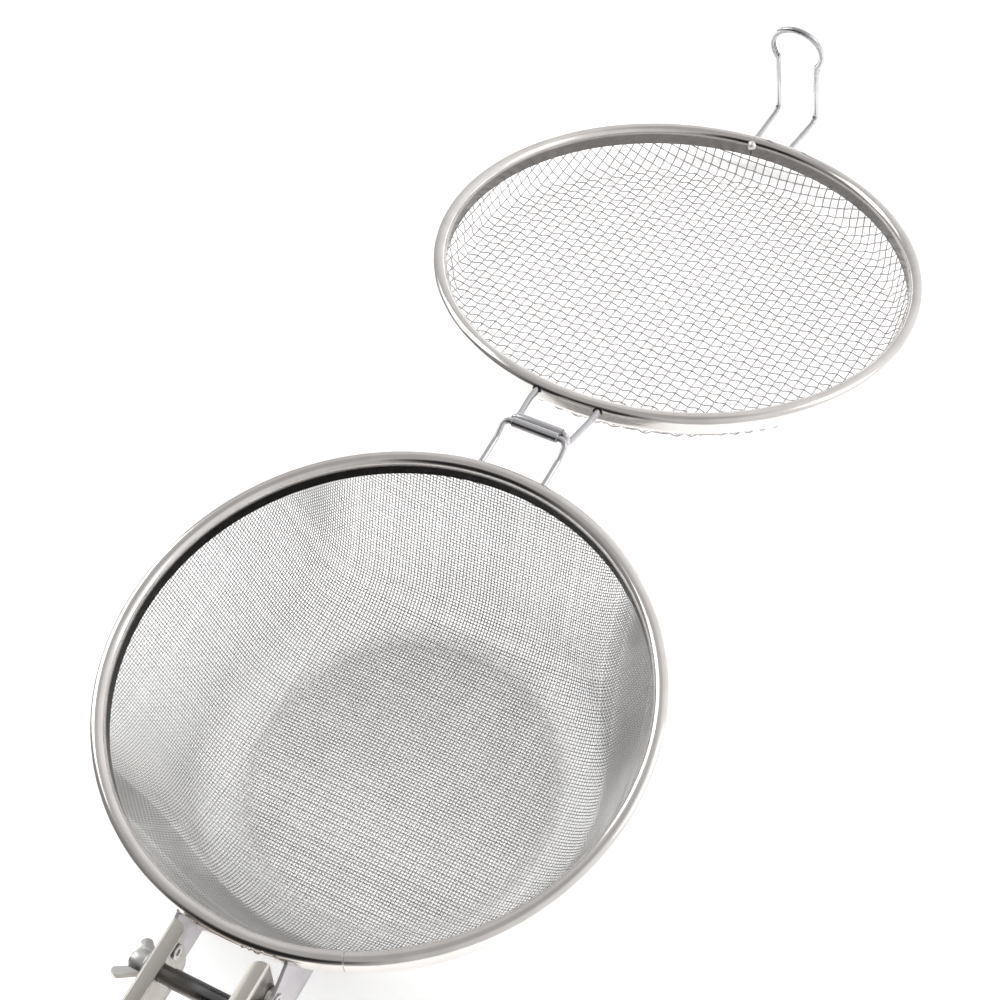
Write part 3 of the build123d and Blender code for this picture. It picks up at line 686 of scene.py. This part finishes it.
def weave_lines(name, dish, cell, place, across):
    """One family of wires as a mesh of lines. Each point knows which way is out of the
    weave, and whether its wire passes over or under there."""
    s, turn = press_net(dish, cell)
    count = s.shape[0]
    inside = s <= dish.reach
    points, lifts, lines = [], [], []
    to_world = np.array(place.to_3x3()) / MM
    for wire in range(-count + 1, count):
        previous = None
        for step in range(-count + 1, count):
            i, j = (step, wire) if across else (wire, step)
            u, v = abs(i), abs(j)
            keep = inside[u, v]
            nearer = (max(abs(step) - 1, 0), abs(wire))
            nearer = nearer if across else nearer[::-1]
            if not keep and not inside[nearer]:
                previous = None
                continue
            d = s[u, v] if keep else dish.reach
            rest = min(1.0, (dish.reach - s[nearer]) / max(s[u, v] - s[nearer], 1e-6))
            a = turn[u, v] if keep else turn[nearer] + (turn[u, v] - turn[nearer]) * rest
            p, t, _ = dish.at(d, a)
            sign = np.array([1.0 if i >= 0 else -1.0, 1.0 if j >= 0 else -1.0, 1.0])
            normal = np.array([-math.sin(t) * math.cos(a), -math.sin(t) * math.sin(a), math.cos(t)]) * sign
            over = 1.0 if (i + j + across) % 2 else -1.0
            points.append(tuple(p * sign))
            lifts.append(to_world @ normal * over)
            if previous is not None:
                lines.append((previous, len(points) - 1))
            previous = len(points) - 1
    piece = new_piece(name, points, [], place, lines)
    lift = piece.data.attributes.new("lift", "FLOAT_VECTOR", "POINT")
    lift.data.foreach_set("vector", np.array(lifts, np.float32).ravel())
    return piece


# %% [markdown]
# ## Wires by Geometry Nodes
# The lines become wire in one Geometry Nodes tree. It pushes each crossing up or
# down by the crimp, rounds the zigzag into waves, and sweeps a small circle along
# it. The same tree does the fine basket and the coarse lid, with other numbers.


# %% The weaving tree
def tree_with_inputs(name, inputs):
    tree = bpy.data.node_groups.new(name, "GeometryNodeTree")
    tree.interface.new_socket("Geometry", in_out="INPUT", socket_type="NodeSocketGeometry")
    for label, kind in inputs:
        tree.interface.new_socket(label, in_out="INPUT", socket_type=kind)
    tree.interface.new_socket("Geometry", in_out="OUTPUT", socket_type="NodeSocketGeometry")
    return tree, tree.nodes.new("NodeGroupInput"), tree.nodes.new("NodeGroupOutput")


def wire_tree(name, crimped):
    """Lines to round wire. Crimped wire follows its `lift`; bent wire rounds its corners by `bend`."""
    tree, given, result = tree_with_inputs(name, [
        ("Wire radius", "NodeSocketFloat"), ("Crimp", "NodeSocketFloat"), ("Sides", "NodeSocketInt"),
        ("Steps", "NodeSocketInt"), ("Finish", "NodeSocketMaterial")])
    new, link = tree.nodes.new, tree.links.new
    curve = new("GeometryNodeMeshToCurve")
    link(given.outputs["Geometry"], curve.inputs["Mesh"])
    shaped = curve.outputs["Curve"]
    if crimped:
        lift = new("GeometryNodeInputNamedAttribute")
        lift.data_type = "FLOAT_VECTOR"
        lift.inputs["Name"].default_value = "lift"
        scale = new("ShaderNodeVectorMath")
        scale.operation = "SCALE"
        link(lift.outputs["Attribute"], scale.inputs[0])
        link(given.outputs["Crimp"], scale.inputs["Scale"])
        move = new("GeometryNodeSetPosition")
        link(shaped, move.inputs["Geometry"])
        link(scale.outputs["Vector"], move.inputs["Offset"])
        wave = new("GeometryNodeCurveSplineType")
        wave.spline_type = "CATMULL_ROM"
        link(move.outputs["Geometry"], wave.inputs["Curve"])
        fine = new("GeometryNodeSetSplineResolution")
        link(wave.outputs["Curve"], fine.inputs["Geometry"])
        link(given.outputs["Steps"], fine.inputs["Resolution"])
        shaped = fine.outputs["Geometry"]
    else:
        bend = new("GeometryNodeInputNamedAttribute")
        bend.data_type = "FLOAT"
        bend.inputs["Name"].default_value = "bend"
        corner = new("GeometryNodeFilletCurve")
        corner.mode = "POLY"
        link(shaped, corner.inputs["Curve"])
        link(given.outputs["Steps"], corner.inputs["Count"])
        link(bend.outputs["Attribute"], corner.inputs["Radius"])
        shaped = corner.outputs["Curve"]
    section = new("GeometryNodeCurvePrimitiveCircle")
    link(given.outputs["Sides"], section.inputs["Resolution"])
    link(given.outputs["Wire radius"], section.inputs["Radius"])
    sweep = new("GeometryNodeCurveToMesh")
    sweep.inputs["Fill Caps"].default_value = True
    link(shaped, sweep.inputs["Curve"])
    link(section.outputs["Curve"], sweep.inputs["Profile Curve"])
    smooth = new("GeometryNodeSetShadeSmooth")
    link(sweep.outputs["Mesh"], smooth.inputs["Geometry"])
    paint = new("GeometryNodeSetMaterial")
    link(smooth.outputs["Geometry"], paint.inputs["Geometry"])
    link(given.outputs["Finish"], paint.inputs["Material"])
    realize = new("GeometryNodeRealizeInstances")
    link(paint.outputs["Geometry"], realize.inputs["Geometry"])
    link(realize.outputs["Geometry"], result.inputs["Geometry"])
    return tree


def run_tree(piece, tree, **values):
    """Sets a tree's inputs by their sockets, and keeps the mesh that it makes."""
    modifier = piece.modifiers.new("build", "NODES")
    modifier.node_group = tree
    sockets = {i.name: i.identifier for i in tree.interface.items_tree if i.in_out == "INPUT"}
    for label, value in values.items():
        modifier[sockets[label.replace("_", " ")]] = value
    keep_result(piece)


weave_tree = wire_tree("woven wire", crimped=True)
print("nodes of the weaving tree:", len(weave_tree.nodes))

# %% [markdown]
# ## Both weaves
# The basket has about one fine wire to a millimetre, so three sides to a wire and
# no points between the crossings are enough. The lid's mesh is three times
# coarser and its waves show, so its wire is rounder and its waves are smoother.
# One family of its wires is nearly straight and the other takes up the wave, as
# in real crimped mesh.

# %% Basket weave and lid weave
BASKET_CELL = 1.0
BASKET_WIRE_R = 0.175
BASKET_CRIMP = 0.7 * BASKET_WIRE_R
LID_CELL = 3.034
LID_WIRE_R = 0.225
LID_CRIMP = {False: 0.10, True: 0.42}     # the straighter wires make the others wavier
SHELL_T = 0.43            # the wires of the wall lie this far inside the solid's skin
WALL_TOP = 7.0            # the basket's sloped wall begins this far below its mouth
BASKET_MIDDLE = 0.4       # and those of the flat bottom this far above it
LID_MIDDLE = 0.5
BASKET_TOP = (HEM_R - SHELL_T + 0.3, -5.9)     # where the wires end inside the rims: radius, height
LID_TOP = (74.6, -5.4)

basket_foot_r = HEM_R - SHELL_T - WALL_SLOPE * (BASKET_H - WALL_TOP)
basket_dish = Dish(BASKET_MIDDLE - BASKET_H, FLOOR_CORNER_R - BASKET_MIDDLE, BASKET_TOP, basket_foot_r)
lid_foot_r = HEM_R - LID_FLAT_IN - LID_MIDDLE
lid_dish = Dish(LID_MIDDLE - LID_DEPTH, LID_CORNER_R - LID_MIDDLE, LID_TOP, lid_foot_r)
for family, across in (("warp", False), ("weft", True)):
    lines = weave_lines("basket_" + family, basket_dish, BASKET_CELL, TO_BASKET, across)
    run_tree(lines, weave_tree, Wire_radius=BASKET_WIRE_R * MM, Crimp=BASKET_CRIMP * MM,
             Sides=3, Steps=1, Finish=weave_steel)
    finish_piece(lines, "basket", weave_steel)
    lines = weave_lines("lid_" + family, lid_dish, LID_CELL, TO_LID, across)
    run_tree(lines, weave_tree, Wire_radius=LID_WIRE_R * MM, Crimp=LID_CRIMP[across] * MM,
             Sides=6, Steps=4, Finish=lid_weave_steel)
    finish_piece(lines, "lid", lid_weave_steel)
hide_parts("basket_mesh")
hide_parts("lid_mesh")
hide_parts("basket_mesh")
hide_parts("lid_mesh")

# %% [markdown]
# ## Bent wire
# The two hoops and the latch are single pieces of wire, about 2 mm thick, pushed
# into holes in the rims. Each is a chain of corners with a bend radius at each,
# and a second Geometry Nodes tree rounds the corners and sweeps the wire.

# %% Hoops
bent_tree = wire_tree("bent wire", crimped=False)
KNEE_OUT = 8.6            # the basket's hoop runs this far past the rim before it turns up
LID_BAR_X = 8.7
BAR_BEND_R = 1.4


def bent_wire(name, node, corners, place, body, radius=WIRE_R):
    """corners: (x, y, height, bend radius), in millimetres, from one end to the other."""
    points = [c[:3] for c in corners]
    piece = new_piece(name, points, [], place, [(i, i + 1) for i in range(len(points) - 1)])
    bend = piece.data.attributes.new("bend", "FLOAT", "POINT")
    bend.data.foreach_set("value", [c[3] * MM for c in corners])
    run_tree(piece, bent_tree, Wire_radius=radius * MM, Crimp=0.0,
             Sides=20, Steps=10, Finish=wire_steel)
    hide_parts(node)
    finish_piece(piece, body, wire_steel)


def mirrored(side):
    """The same corners on the other side, in the order that goes on from the first ones."""
    return [(-x, y, z, bend) for x, y, z, bend in reversed(side)]


hoop = [
    (HOOP_X, WIRE_START, -WIRE_DEPTH, 0), (HOOP_X, RIM_R + KNEE_OUT, -WIRE_DEPTH, BEND_R),
    (HOOP_X, *BASKET_BAR, BEND_R),
]
bent_wire("basket_hinge_hoop", "basket_hoop", hoop + mirrored(hoop), TO_BASKET, "basket")

lid_knee = RIM_R + 2 * BEND_R
lid_side = [
    (HOOP_X, -WIRE_START, -WIRE_DEPTH, 0), (HOOP_X, -lid_knee, -WIRE_DEPTH, 3 * BEND_R),
    (LID_BAR_X, -LID_BAR[0], -WIRE_DEPTH, BEND_R), (LID_BAR_X, -LID_BAR[0], lid_bar_n, BAR_BEND_R),
]
bent_wire("lid_hinge_hoop", "lid_hoop", lid_side + mirrored(lid_side), TO_LID, "lid")

# %% [markdown]
# ## The latch loop
# The latch is one wire too. Its two legs run out from the lid's rim, turn up, and
# end in a round head like a keyhole, which a finger can grip. The loop leans in
# toward the lid, so a small function gives the distance out for every height.

# %% Latch
LATCH_X = 6.2
LATCH_WIRE_R = 1.15
LATCH_KNEE_X = 6.9
LATCH_KNEE = (100.2, -2.6)    # where the legs turn up: distance out, height
LATCH_LEAN = 0.34             # the loop leans in by this much per unit of height
HEAD_R = 8.9
HEAD_N = 28.2                 # height of the head's centre
HEAD_LOW = -38.0              # where the head's arc begins, in degrees
HEAD_STEPS = 14
HEAD_BEND_R = 0.6


def on_latch(x, n, bend):
    return (x, LATCH_KNEE[0] - LATCH_LEAN * (n - LATCH_KNEE[1]), n, bend)


neck_top = HEAD_N + 1.5 * HEAD_R * math.sin(math.radians(HEAD_LOW))
latch = [
    (LATCH_X, WIRE_START, -WIRE_DEPTH, 0), (LATCH_KNEE_X, *LATCH_KNEE, 3.0),
    on_latch(LATCH_KNEE_X, neck_top, 2.0),
]
latch += [on_latch(x, n, HEAD_BEND_R) for x, n in arc((0, HEAD_N), HEAD_R, HEAD_LOW, 90, HEAD_STEPS)]
bent_wire("latch", "latch_loop", latch + mirrored(latch[:-1]), TO_LID, "lid", LATCH_WIRE_R)

# %% [markdown]
# ## The hinge sleeve
# A strip of thin sheet is wrapped round both hinge bars and pinched between them,
# so it shows as two round ridges with a groove. Seen from between the bars, its
# section is one curve: at each angle, the farther of the two circles.

# %% Hinge sleeve
SLEEVE_LEN = 14.5
SLEEVE_T = 0.5
SLEEVE_R = WIRE_R + 0.04 + SLEEVE_T
SLEEVE_STEPS = 72
# (share of the length, how far inside the outer skin), once round the sheet's edge
SLEEVE_ROWS = [(-0.5, SLEEVE_T), (-0.5, 0.08), (-0.494, 0.0), (0.494, 0.0), (0.5, 0.08), (0.5, SLEEVE_T)]


def sleeve(name, steps=SLEEVE_STEPS):
    first, second = Vector(BASKET_BAR), Vector(LID_BAR)
    middle, apart = (first + second) / 2, (second - first) / 2
    half_apart, lean = apart.length, math.atan2(apart.y, apart.x)
    skin = []
    for k in range(steps):
        a = 2 * math.pi * k / steps
        toward, aside = half_apart * abs(math.cos(a)), half_apart * math.sin(a)
        reach = toward + math.sqrt(SLEEVE_R ** 2 - aside ** 2) if abs(aside) < SLEEVE_R else toward
        skin.append((reach, a + lean))
    points, faces = [], []
    for x, inward in SLEEVE_ROWS:
        for reach, a in skin:
            r = reach - inward
            points.append((x * SLEEVE_LEN, middle.x + r * math.cos(a), middle.y + r * math.sin(a)))
    for i in range(len(SLEEVE_ROWS)):
        j = (i + 1) % len(SLEEVE_ROWS)
        for k in range(steps):
            m = (k + 1) % steps
            faces.append((i * steps + k, i * steps + m, j * steps + m, j * steps + k))
    return new_piece(name, points, faces, TO_BASKET, smooth=30)


wrap = sleeve("hinge_wrap")
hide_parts("hinge_sleeve")
finish_piece(wrap, "basket", wire_steel)

# %% [markdown]
# ## Painted shade round the wires
# Each wire goes into its rim through a drilled hole that is a little wider than
# the wire, and the gap round it lies in shade. That shade is painted: a dark ring
# on the rim's round crown, whose points are worked out on a flat disc and then
# pushed out to the crown.

# %% Painted shade of the wire holes
HOLE_R = 1.5
RING_R = 0.9 * WIRE_R     # the ring's inner edge lies just inside the wire
PROUD = 0.03              # how far it stands off the crown
SUNK = -0.3


def hole_shade_ring(name, legs, place, body, steps=28):
    """legs: (x, side) where side is +1 or -1 along y."""
    crown = RIM_W / 2
    points, faces = [], []
    for x, side in legs:
        start = len(points)
        for k in range(steps):
            a = 2 * math.pi * k / steps
            for radius, lift in ((HOLE_R, PROUD), (RING_R, PROUD), (RING_R, SUNK), (HOLE_R, SUNK)):
                dx, dz = radius * math.cos(a), radius * math.sin(a)
                y = RIM_R - crown + math.sqrt(crown ** 2 - dz ** 2) + lift
                points.append((x + dx, side * (y - (x + dx) ** 2 / (2 * RIM_R)), dz - WIRE_DEPTH))
        for k in range(steps):
            m = (k + 1) % steps
            for i in range(4):
                j = (i + 1) % 4
                face = (start + 4 * k + i, start + 4 * m + i, start + 4 * m + j, start + 4 * k + j)
                faces.append(face[::-1] if side > 0 else face)
    finish_piece(new_piece(name, points, faces, place, smooth=40), body, hole_shadow)


# a dark ring painted round each wire, standing in for the shade inside its hole
hole_shadow = metal(
    "painted hole shade", (0.05, 0.045, 0.04), (0.02, 0.02, 0.02),
    0.5, 0.2, (900, 900, 900), 0.00003)
hole_shade_ring("basket_hole_shade", [(HOOP_X, 1), (-HOOP_X, 1)], TO_BASKET, "basket")
hole_shade_ring("lid_hole_shade", [(HOOP_X, -1), (-HOOP_X, -1), (LATCH_X, 1), (-LATCH_X, 1)], TO_LID, "lid")

# %% [markdown]
# ## Weld beads
# The plates are spot-welded under the basket's rim, and the weld leaves small
# beads and spatter on the steel. A larger blob of solder closes the lid's rim
# where its ends meet. A Geometry Nodes tree sets a small uneven ball on each
# point, turned and sized at random from a fixed seed.


# %% Bead tree
DENTS = 900.0             # dents per metre
ANY_TURN = 6.28           # radians
BEAD_SUNK = 0.1


def bead_tree():
    tree, given, result = tree_with_inputs("weld beads", [
        ("Size", "NodeSocketFloat"), ("Spread", "NodeSocketFloat"),
        ("Seed", "NodeSocketInt"), ("Finish", "NodeSocketMaterial")])
    new, link = tree.nodes.new, tree.links.new
    ball = new("GeometryNodeMeshIcoSphere")
    ball.inputs["Subdivisions"].default_value = 3
    link(given.outputs["Size"], ball.inputs["Radius"])
    dents = new("ShaderNodeTexNoise")
    dents.inputs["Scale"].default_value = DENTS
    push = new("ShaderNodeVectorMath")
    push.operation = "SCALE"
    normal = new("GeometryNodeInputNormal")
    amount = new("ShaderNodeMath")
    amount.operation = "MULTIPLY"
    link(dents.outputs["Fac"], amount.inputs[0])
    link(given.outputs["Size"], amount.inputs[1])
    link(normal.outputs["Normal"], push.inputs[0])
    link(amount.outputs["Value"], push.inputs["Scale"])
    uneven = new("GeometryNodeSetPosition")
    link(ball.outputs["Mesh"], uneven.inputs["Geometry"])
    link(push.outputs["Vector"], uneven.inputs["Offset"])
    turn = new("FunctionNodeRandomValue")
    turn.data_type = "FLOAT_VECTOR"
    turn.inputs["Max"].default_value = (ANY_TURN,) * 3
    link(given.outputs["Seed"], turn.inputs["Seed"])
    grow = new("FunctionNodeRandomValue")
    grow.data_type = "FLOAT"
    link(given.outputs["Spread"], grow.inputs[2])
    grow.inputs[3].default_value = 1.0
    link(given.outputs["Seed"], grow.inputs["Seed"])
    spots = new("GeometryNodeInstanceOnPoints")
    link(given.outputs["Geometry"], spots.inputs["Points"])
    link(uneven.outputs["Geometry"], spots.inputs["Instance"])
    link(turn.outputs["Value"], spots.inputs["Rotation"])
    link(grow.outputs[1], spots.inputs["Scale"])
    realize = new("GeometryNodeRealizeInstances")
    link(spots.outputs["Instances"], realize.inputs["Geometry"])
    smooth = new("GeometryNodeSetShadeSmooth")
    link(realize.outputs["Geometry"], smooth.inputs["Geometry"])
    paint = new("GeometryNodeSetMaterial")
    link(smooth.outputs["Geometry"], paint.inputs["Geometry"])
    link(given.outputs["Finish"], paint.inputs["Material"])
    link(paint.outputs["Geometry"], result.inputs["Geometry"])
    return tree


def on_crown(x, rise):
    """A point on a rim's crown on its -y side, rise in degrees above the level."""
    crown, a = RIM_W / 2, math.radians(rise)
    radius = RIM_R - crown + (crown - BEAD_SUNK) * math.cos(a)
    return (x, -math.sqrt(radius ** 2 - x ** 2), -crown + (crown - BEAD_SUNK) * math.sin(a))


beads = bead_tree()
print("nodes of the bead tree:", len(beads.nodes))

# %% [markdown]
# ## Where the beads sit
# Four beads mark the plates' spot welds, a short row of spatter lies between
# them, and one larger blob closes the joint of the lid's rim.

# %% Weld beads and solder
weld_steel = metal(
    "weld steel", (0.72, 0.69, 0.66), (0.48, 0.45, 0.43),
    0.22, 0.2, (900, 900, 900), 0.00005)
spots = [on_crown(x, 8) for x in (-14.6, -9.4, 9.4, 14.6)]
spots += [on_crown(5.5 + 0.9 * i, 18 + 9 * math.sin(2.4 * i)) for i in range(7)]
welds = new_piece("weld_beads", spots, [], TO_BASKET)
run_tree(welds, beads, Size=0.42 * MM, Spread=0.45, Seed=4, Finish=weld_steel)
finish_piece(welds, "basket", weld_steel)

BLOB_IN = 0.6             # the solder sits this far inside the rim's sheet
BLOB_Z = -2.3
solder = metal(
    "solder", (0.97, 0.96, 0.95), (0.86, 0.85, 0.84),
    0.42, 0.1, (900, 900, 900), 0.00003)
blob_r, blob_turn = RIM_R - RIM_W + BLOB_IN, math.radians(LID_SEAM)
blob_at = (blob_r * math.cos(blob_turn), blob_r * math.sin(blob_turn), BLOB_Z)
blob = new_piece("lid_solder_blob", [blob_at], [], TO_LID)
run_tree(blob, beads, Size=1.15 * MM, Spread=1.0, Seed=2, Finish=solder)
finish_piece(blob, "lid", solder)

# %% [markdown]
# ## Pressed, cut and turned pieces
# The rails, plates, washers and the bolt already have their true shape as solids.
# A real edge is never perfectly sharp, so each is copied, cleaned of the solid's
# many small triangles, and given a thin rounded edge that catches the light.

# %% Dressed solids
NUT_HUB_R = 3.9
WING_REACH = 0.66         # the ears' reach beyond the hub, as a share of the solid's
WING_ROOT = -20.0         # where the ears leave the hub
WING_HEIGHT = 0.6         # the share of their height along the bolt that is kept


def draw_in_wings(piece):
    """Shortens the wing nut's ears toward its axis, which runs along x through the bolt."""
    for vertex in piece.data.vertices:
        out = Vector((0.0, vertex.co.y - LOCK[0] * MM, vertex.co.z - LOCK[1] * MM))
        if out.length > NUT_HUB_R * MM:
            shorter = NUT_HUB_R * MM + (out.length - NUT_HUB_R * MM) * WING_REACH
            vertex.co += out * (shorter / out.length - 1)
        rise = min(0.0, vertex.co.x - WING_ROOT * MM)
        vertex.co.x += rise * (WING_HEIGHT - 1)


for piece_name, node, body, material, slot, bevel in (
    ("rail_left", "arm_left", "handle", rail_steel, "rail_steel", 0.15),
    ("rail_right", "arm_right", "handle", rail_steel, "rail_steel", 0.15),
    ("plate_left", "bracket_left", "basket", plate_steel, "plate_steel", 0.12),
    ("plate_right", "bracket_right", "basket", plate_steel, "plate_steel", 0.12),
    ("rivet_left", "pivot_rivet_left", "basket", zinc, "zinc_hardware", 0.15),
    ("rivet_right", "pivot_rivet_right", "basket", zinc, "zinc_hardware", 0.15),
    ("rivet_washers", "pivot_washers", "basket", zinc, "zinc_hardware", 0.08),
    ("bolt", "lock_bolt", "handle", zinc, "zinc_hardware", 0.12),
    ("spacer_tube", "cross_rod", "handle", dark_steel, "dark_tube", 0.12),
    ("bolt_washer", "head_washer", "handle", zinc, "zinc_hardware", 0.12),
    ("wing_washer", "nut_washer", "nut_washer", zinc, "zinc_hardware", 0.12),
    ("wing_nut_body", "wing_nut", "wing_nut", zinc, "zinc_hardware", 0.35),
    ("wooden_grip", "grip", "handle", grip_wood, "grip_wood", 0.3),
    ("grip_pins", "grip_rivets", "handle", zinc, "zinc_hardware", 0.1),
):
    piece = dress(piece_name, node, bevel)
    if node == "wing_nut":
        draw_in_wings(piece)
    finish_piece(piece, body, material)

# %% [markdown]
# ## Done
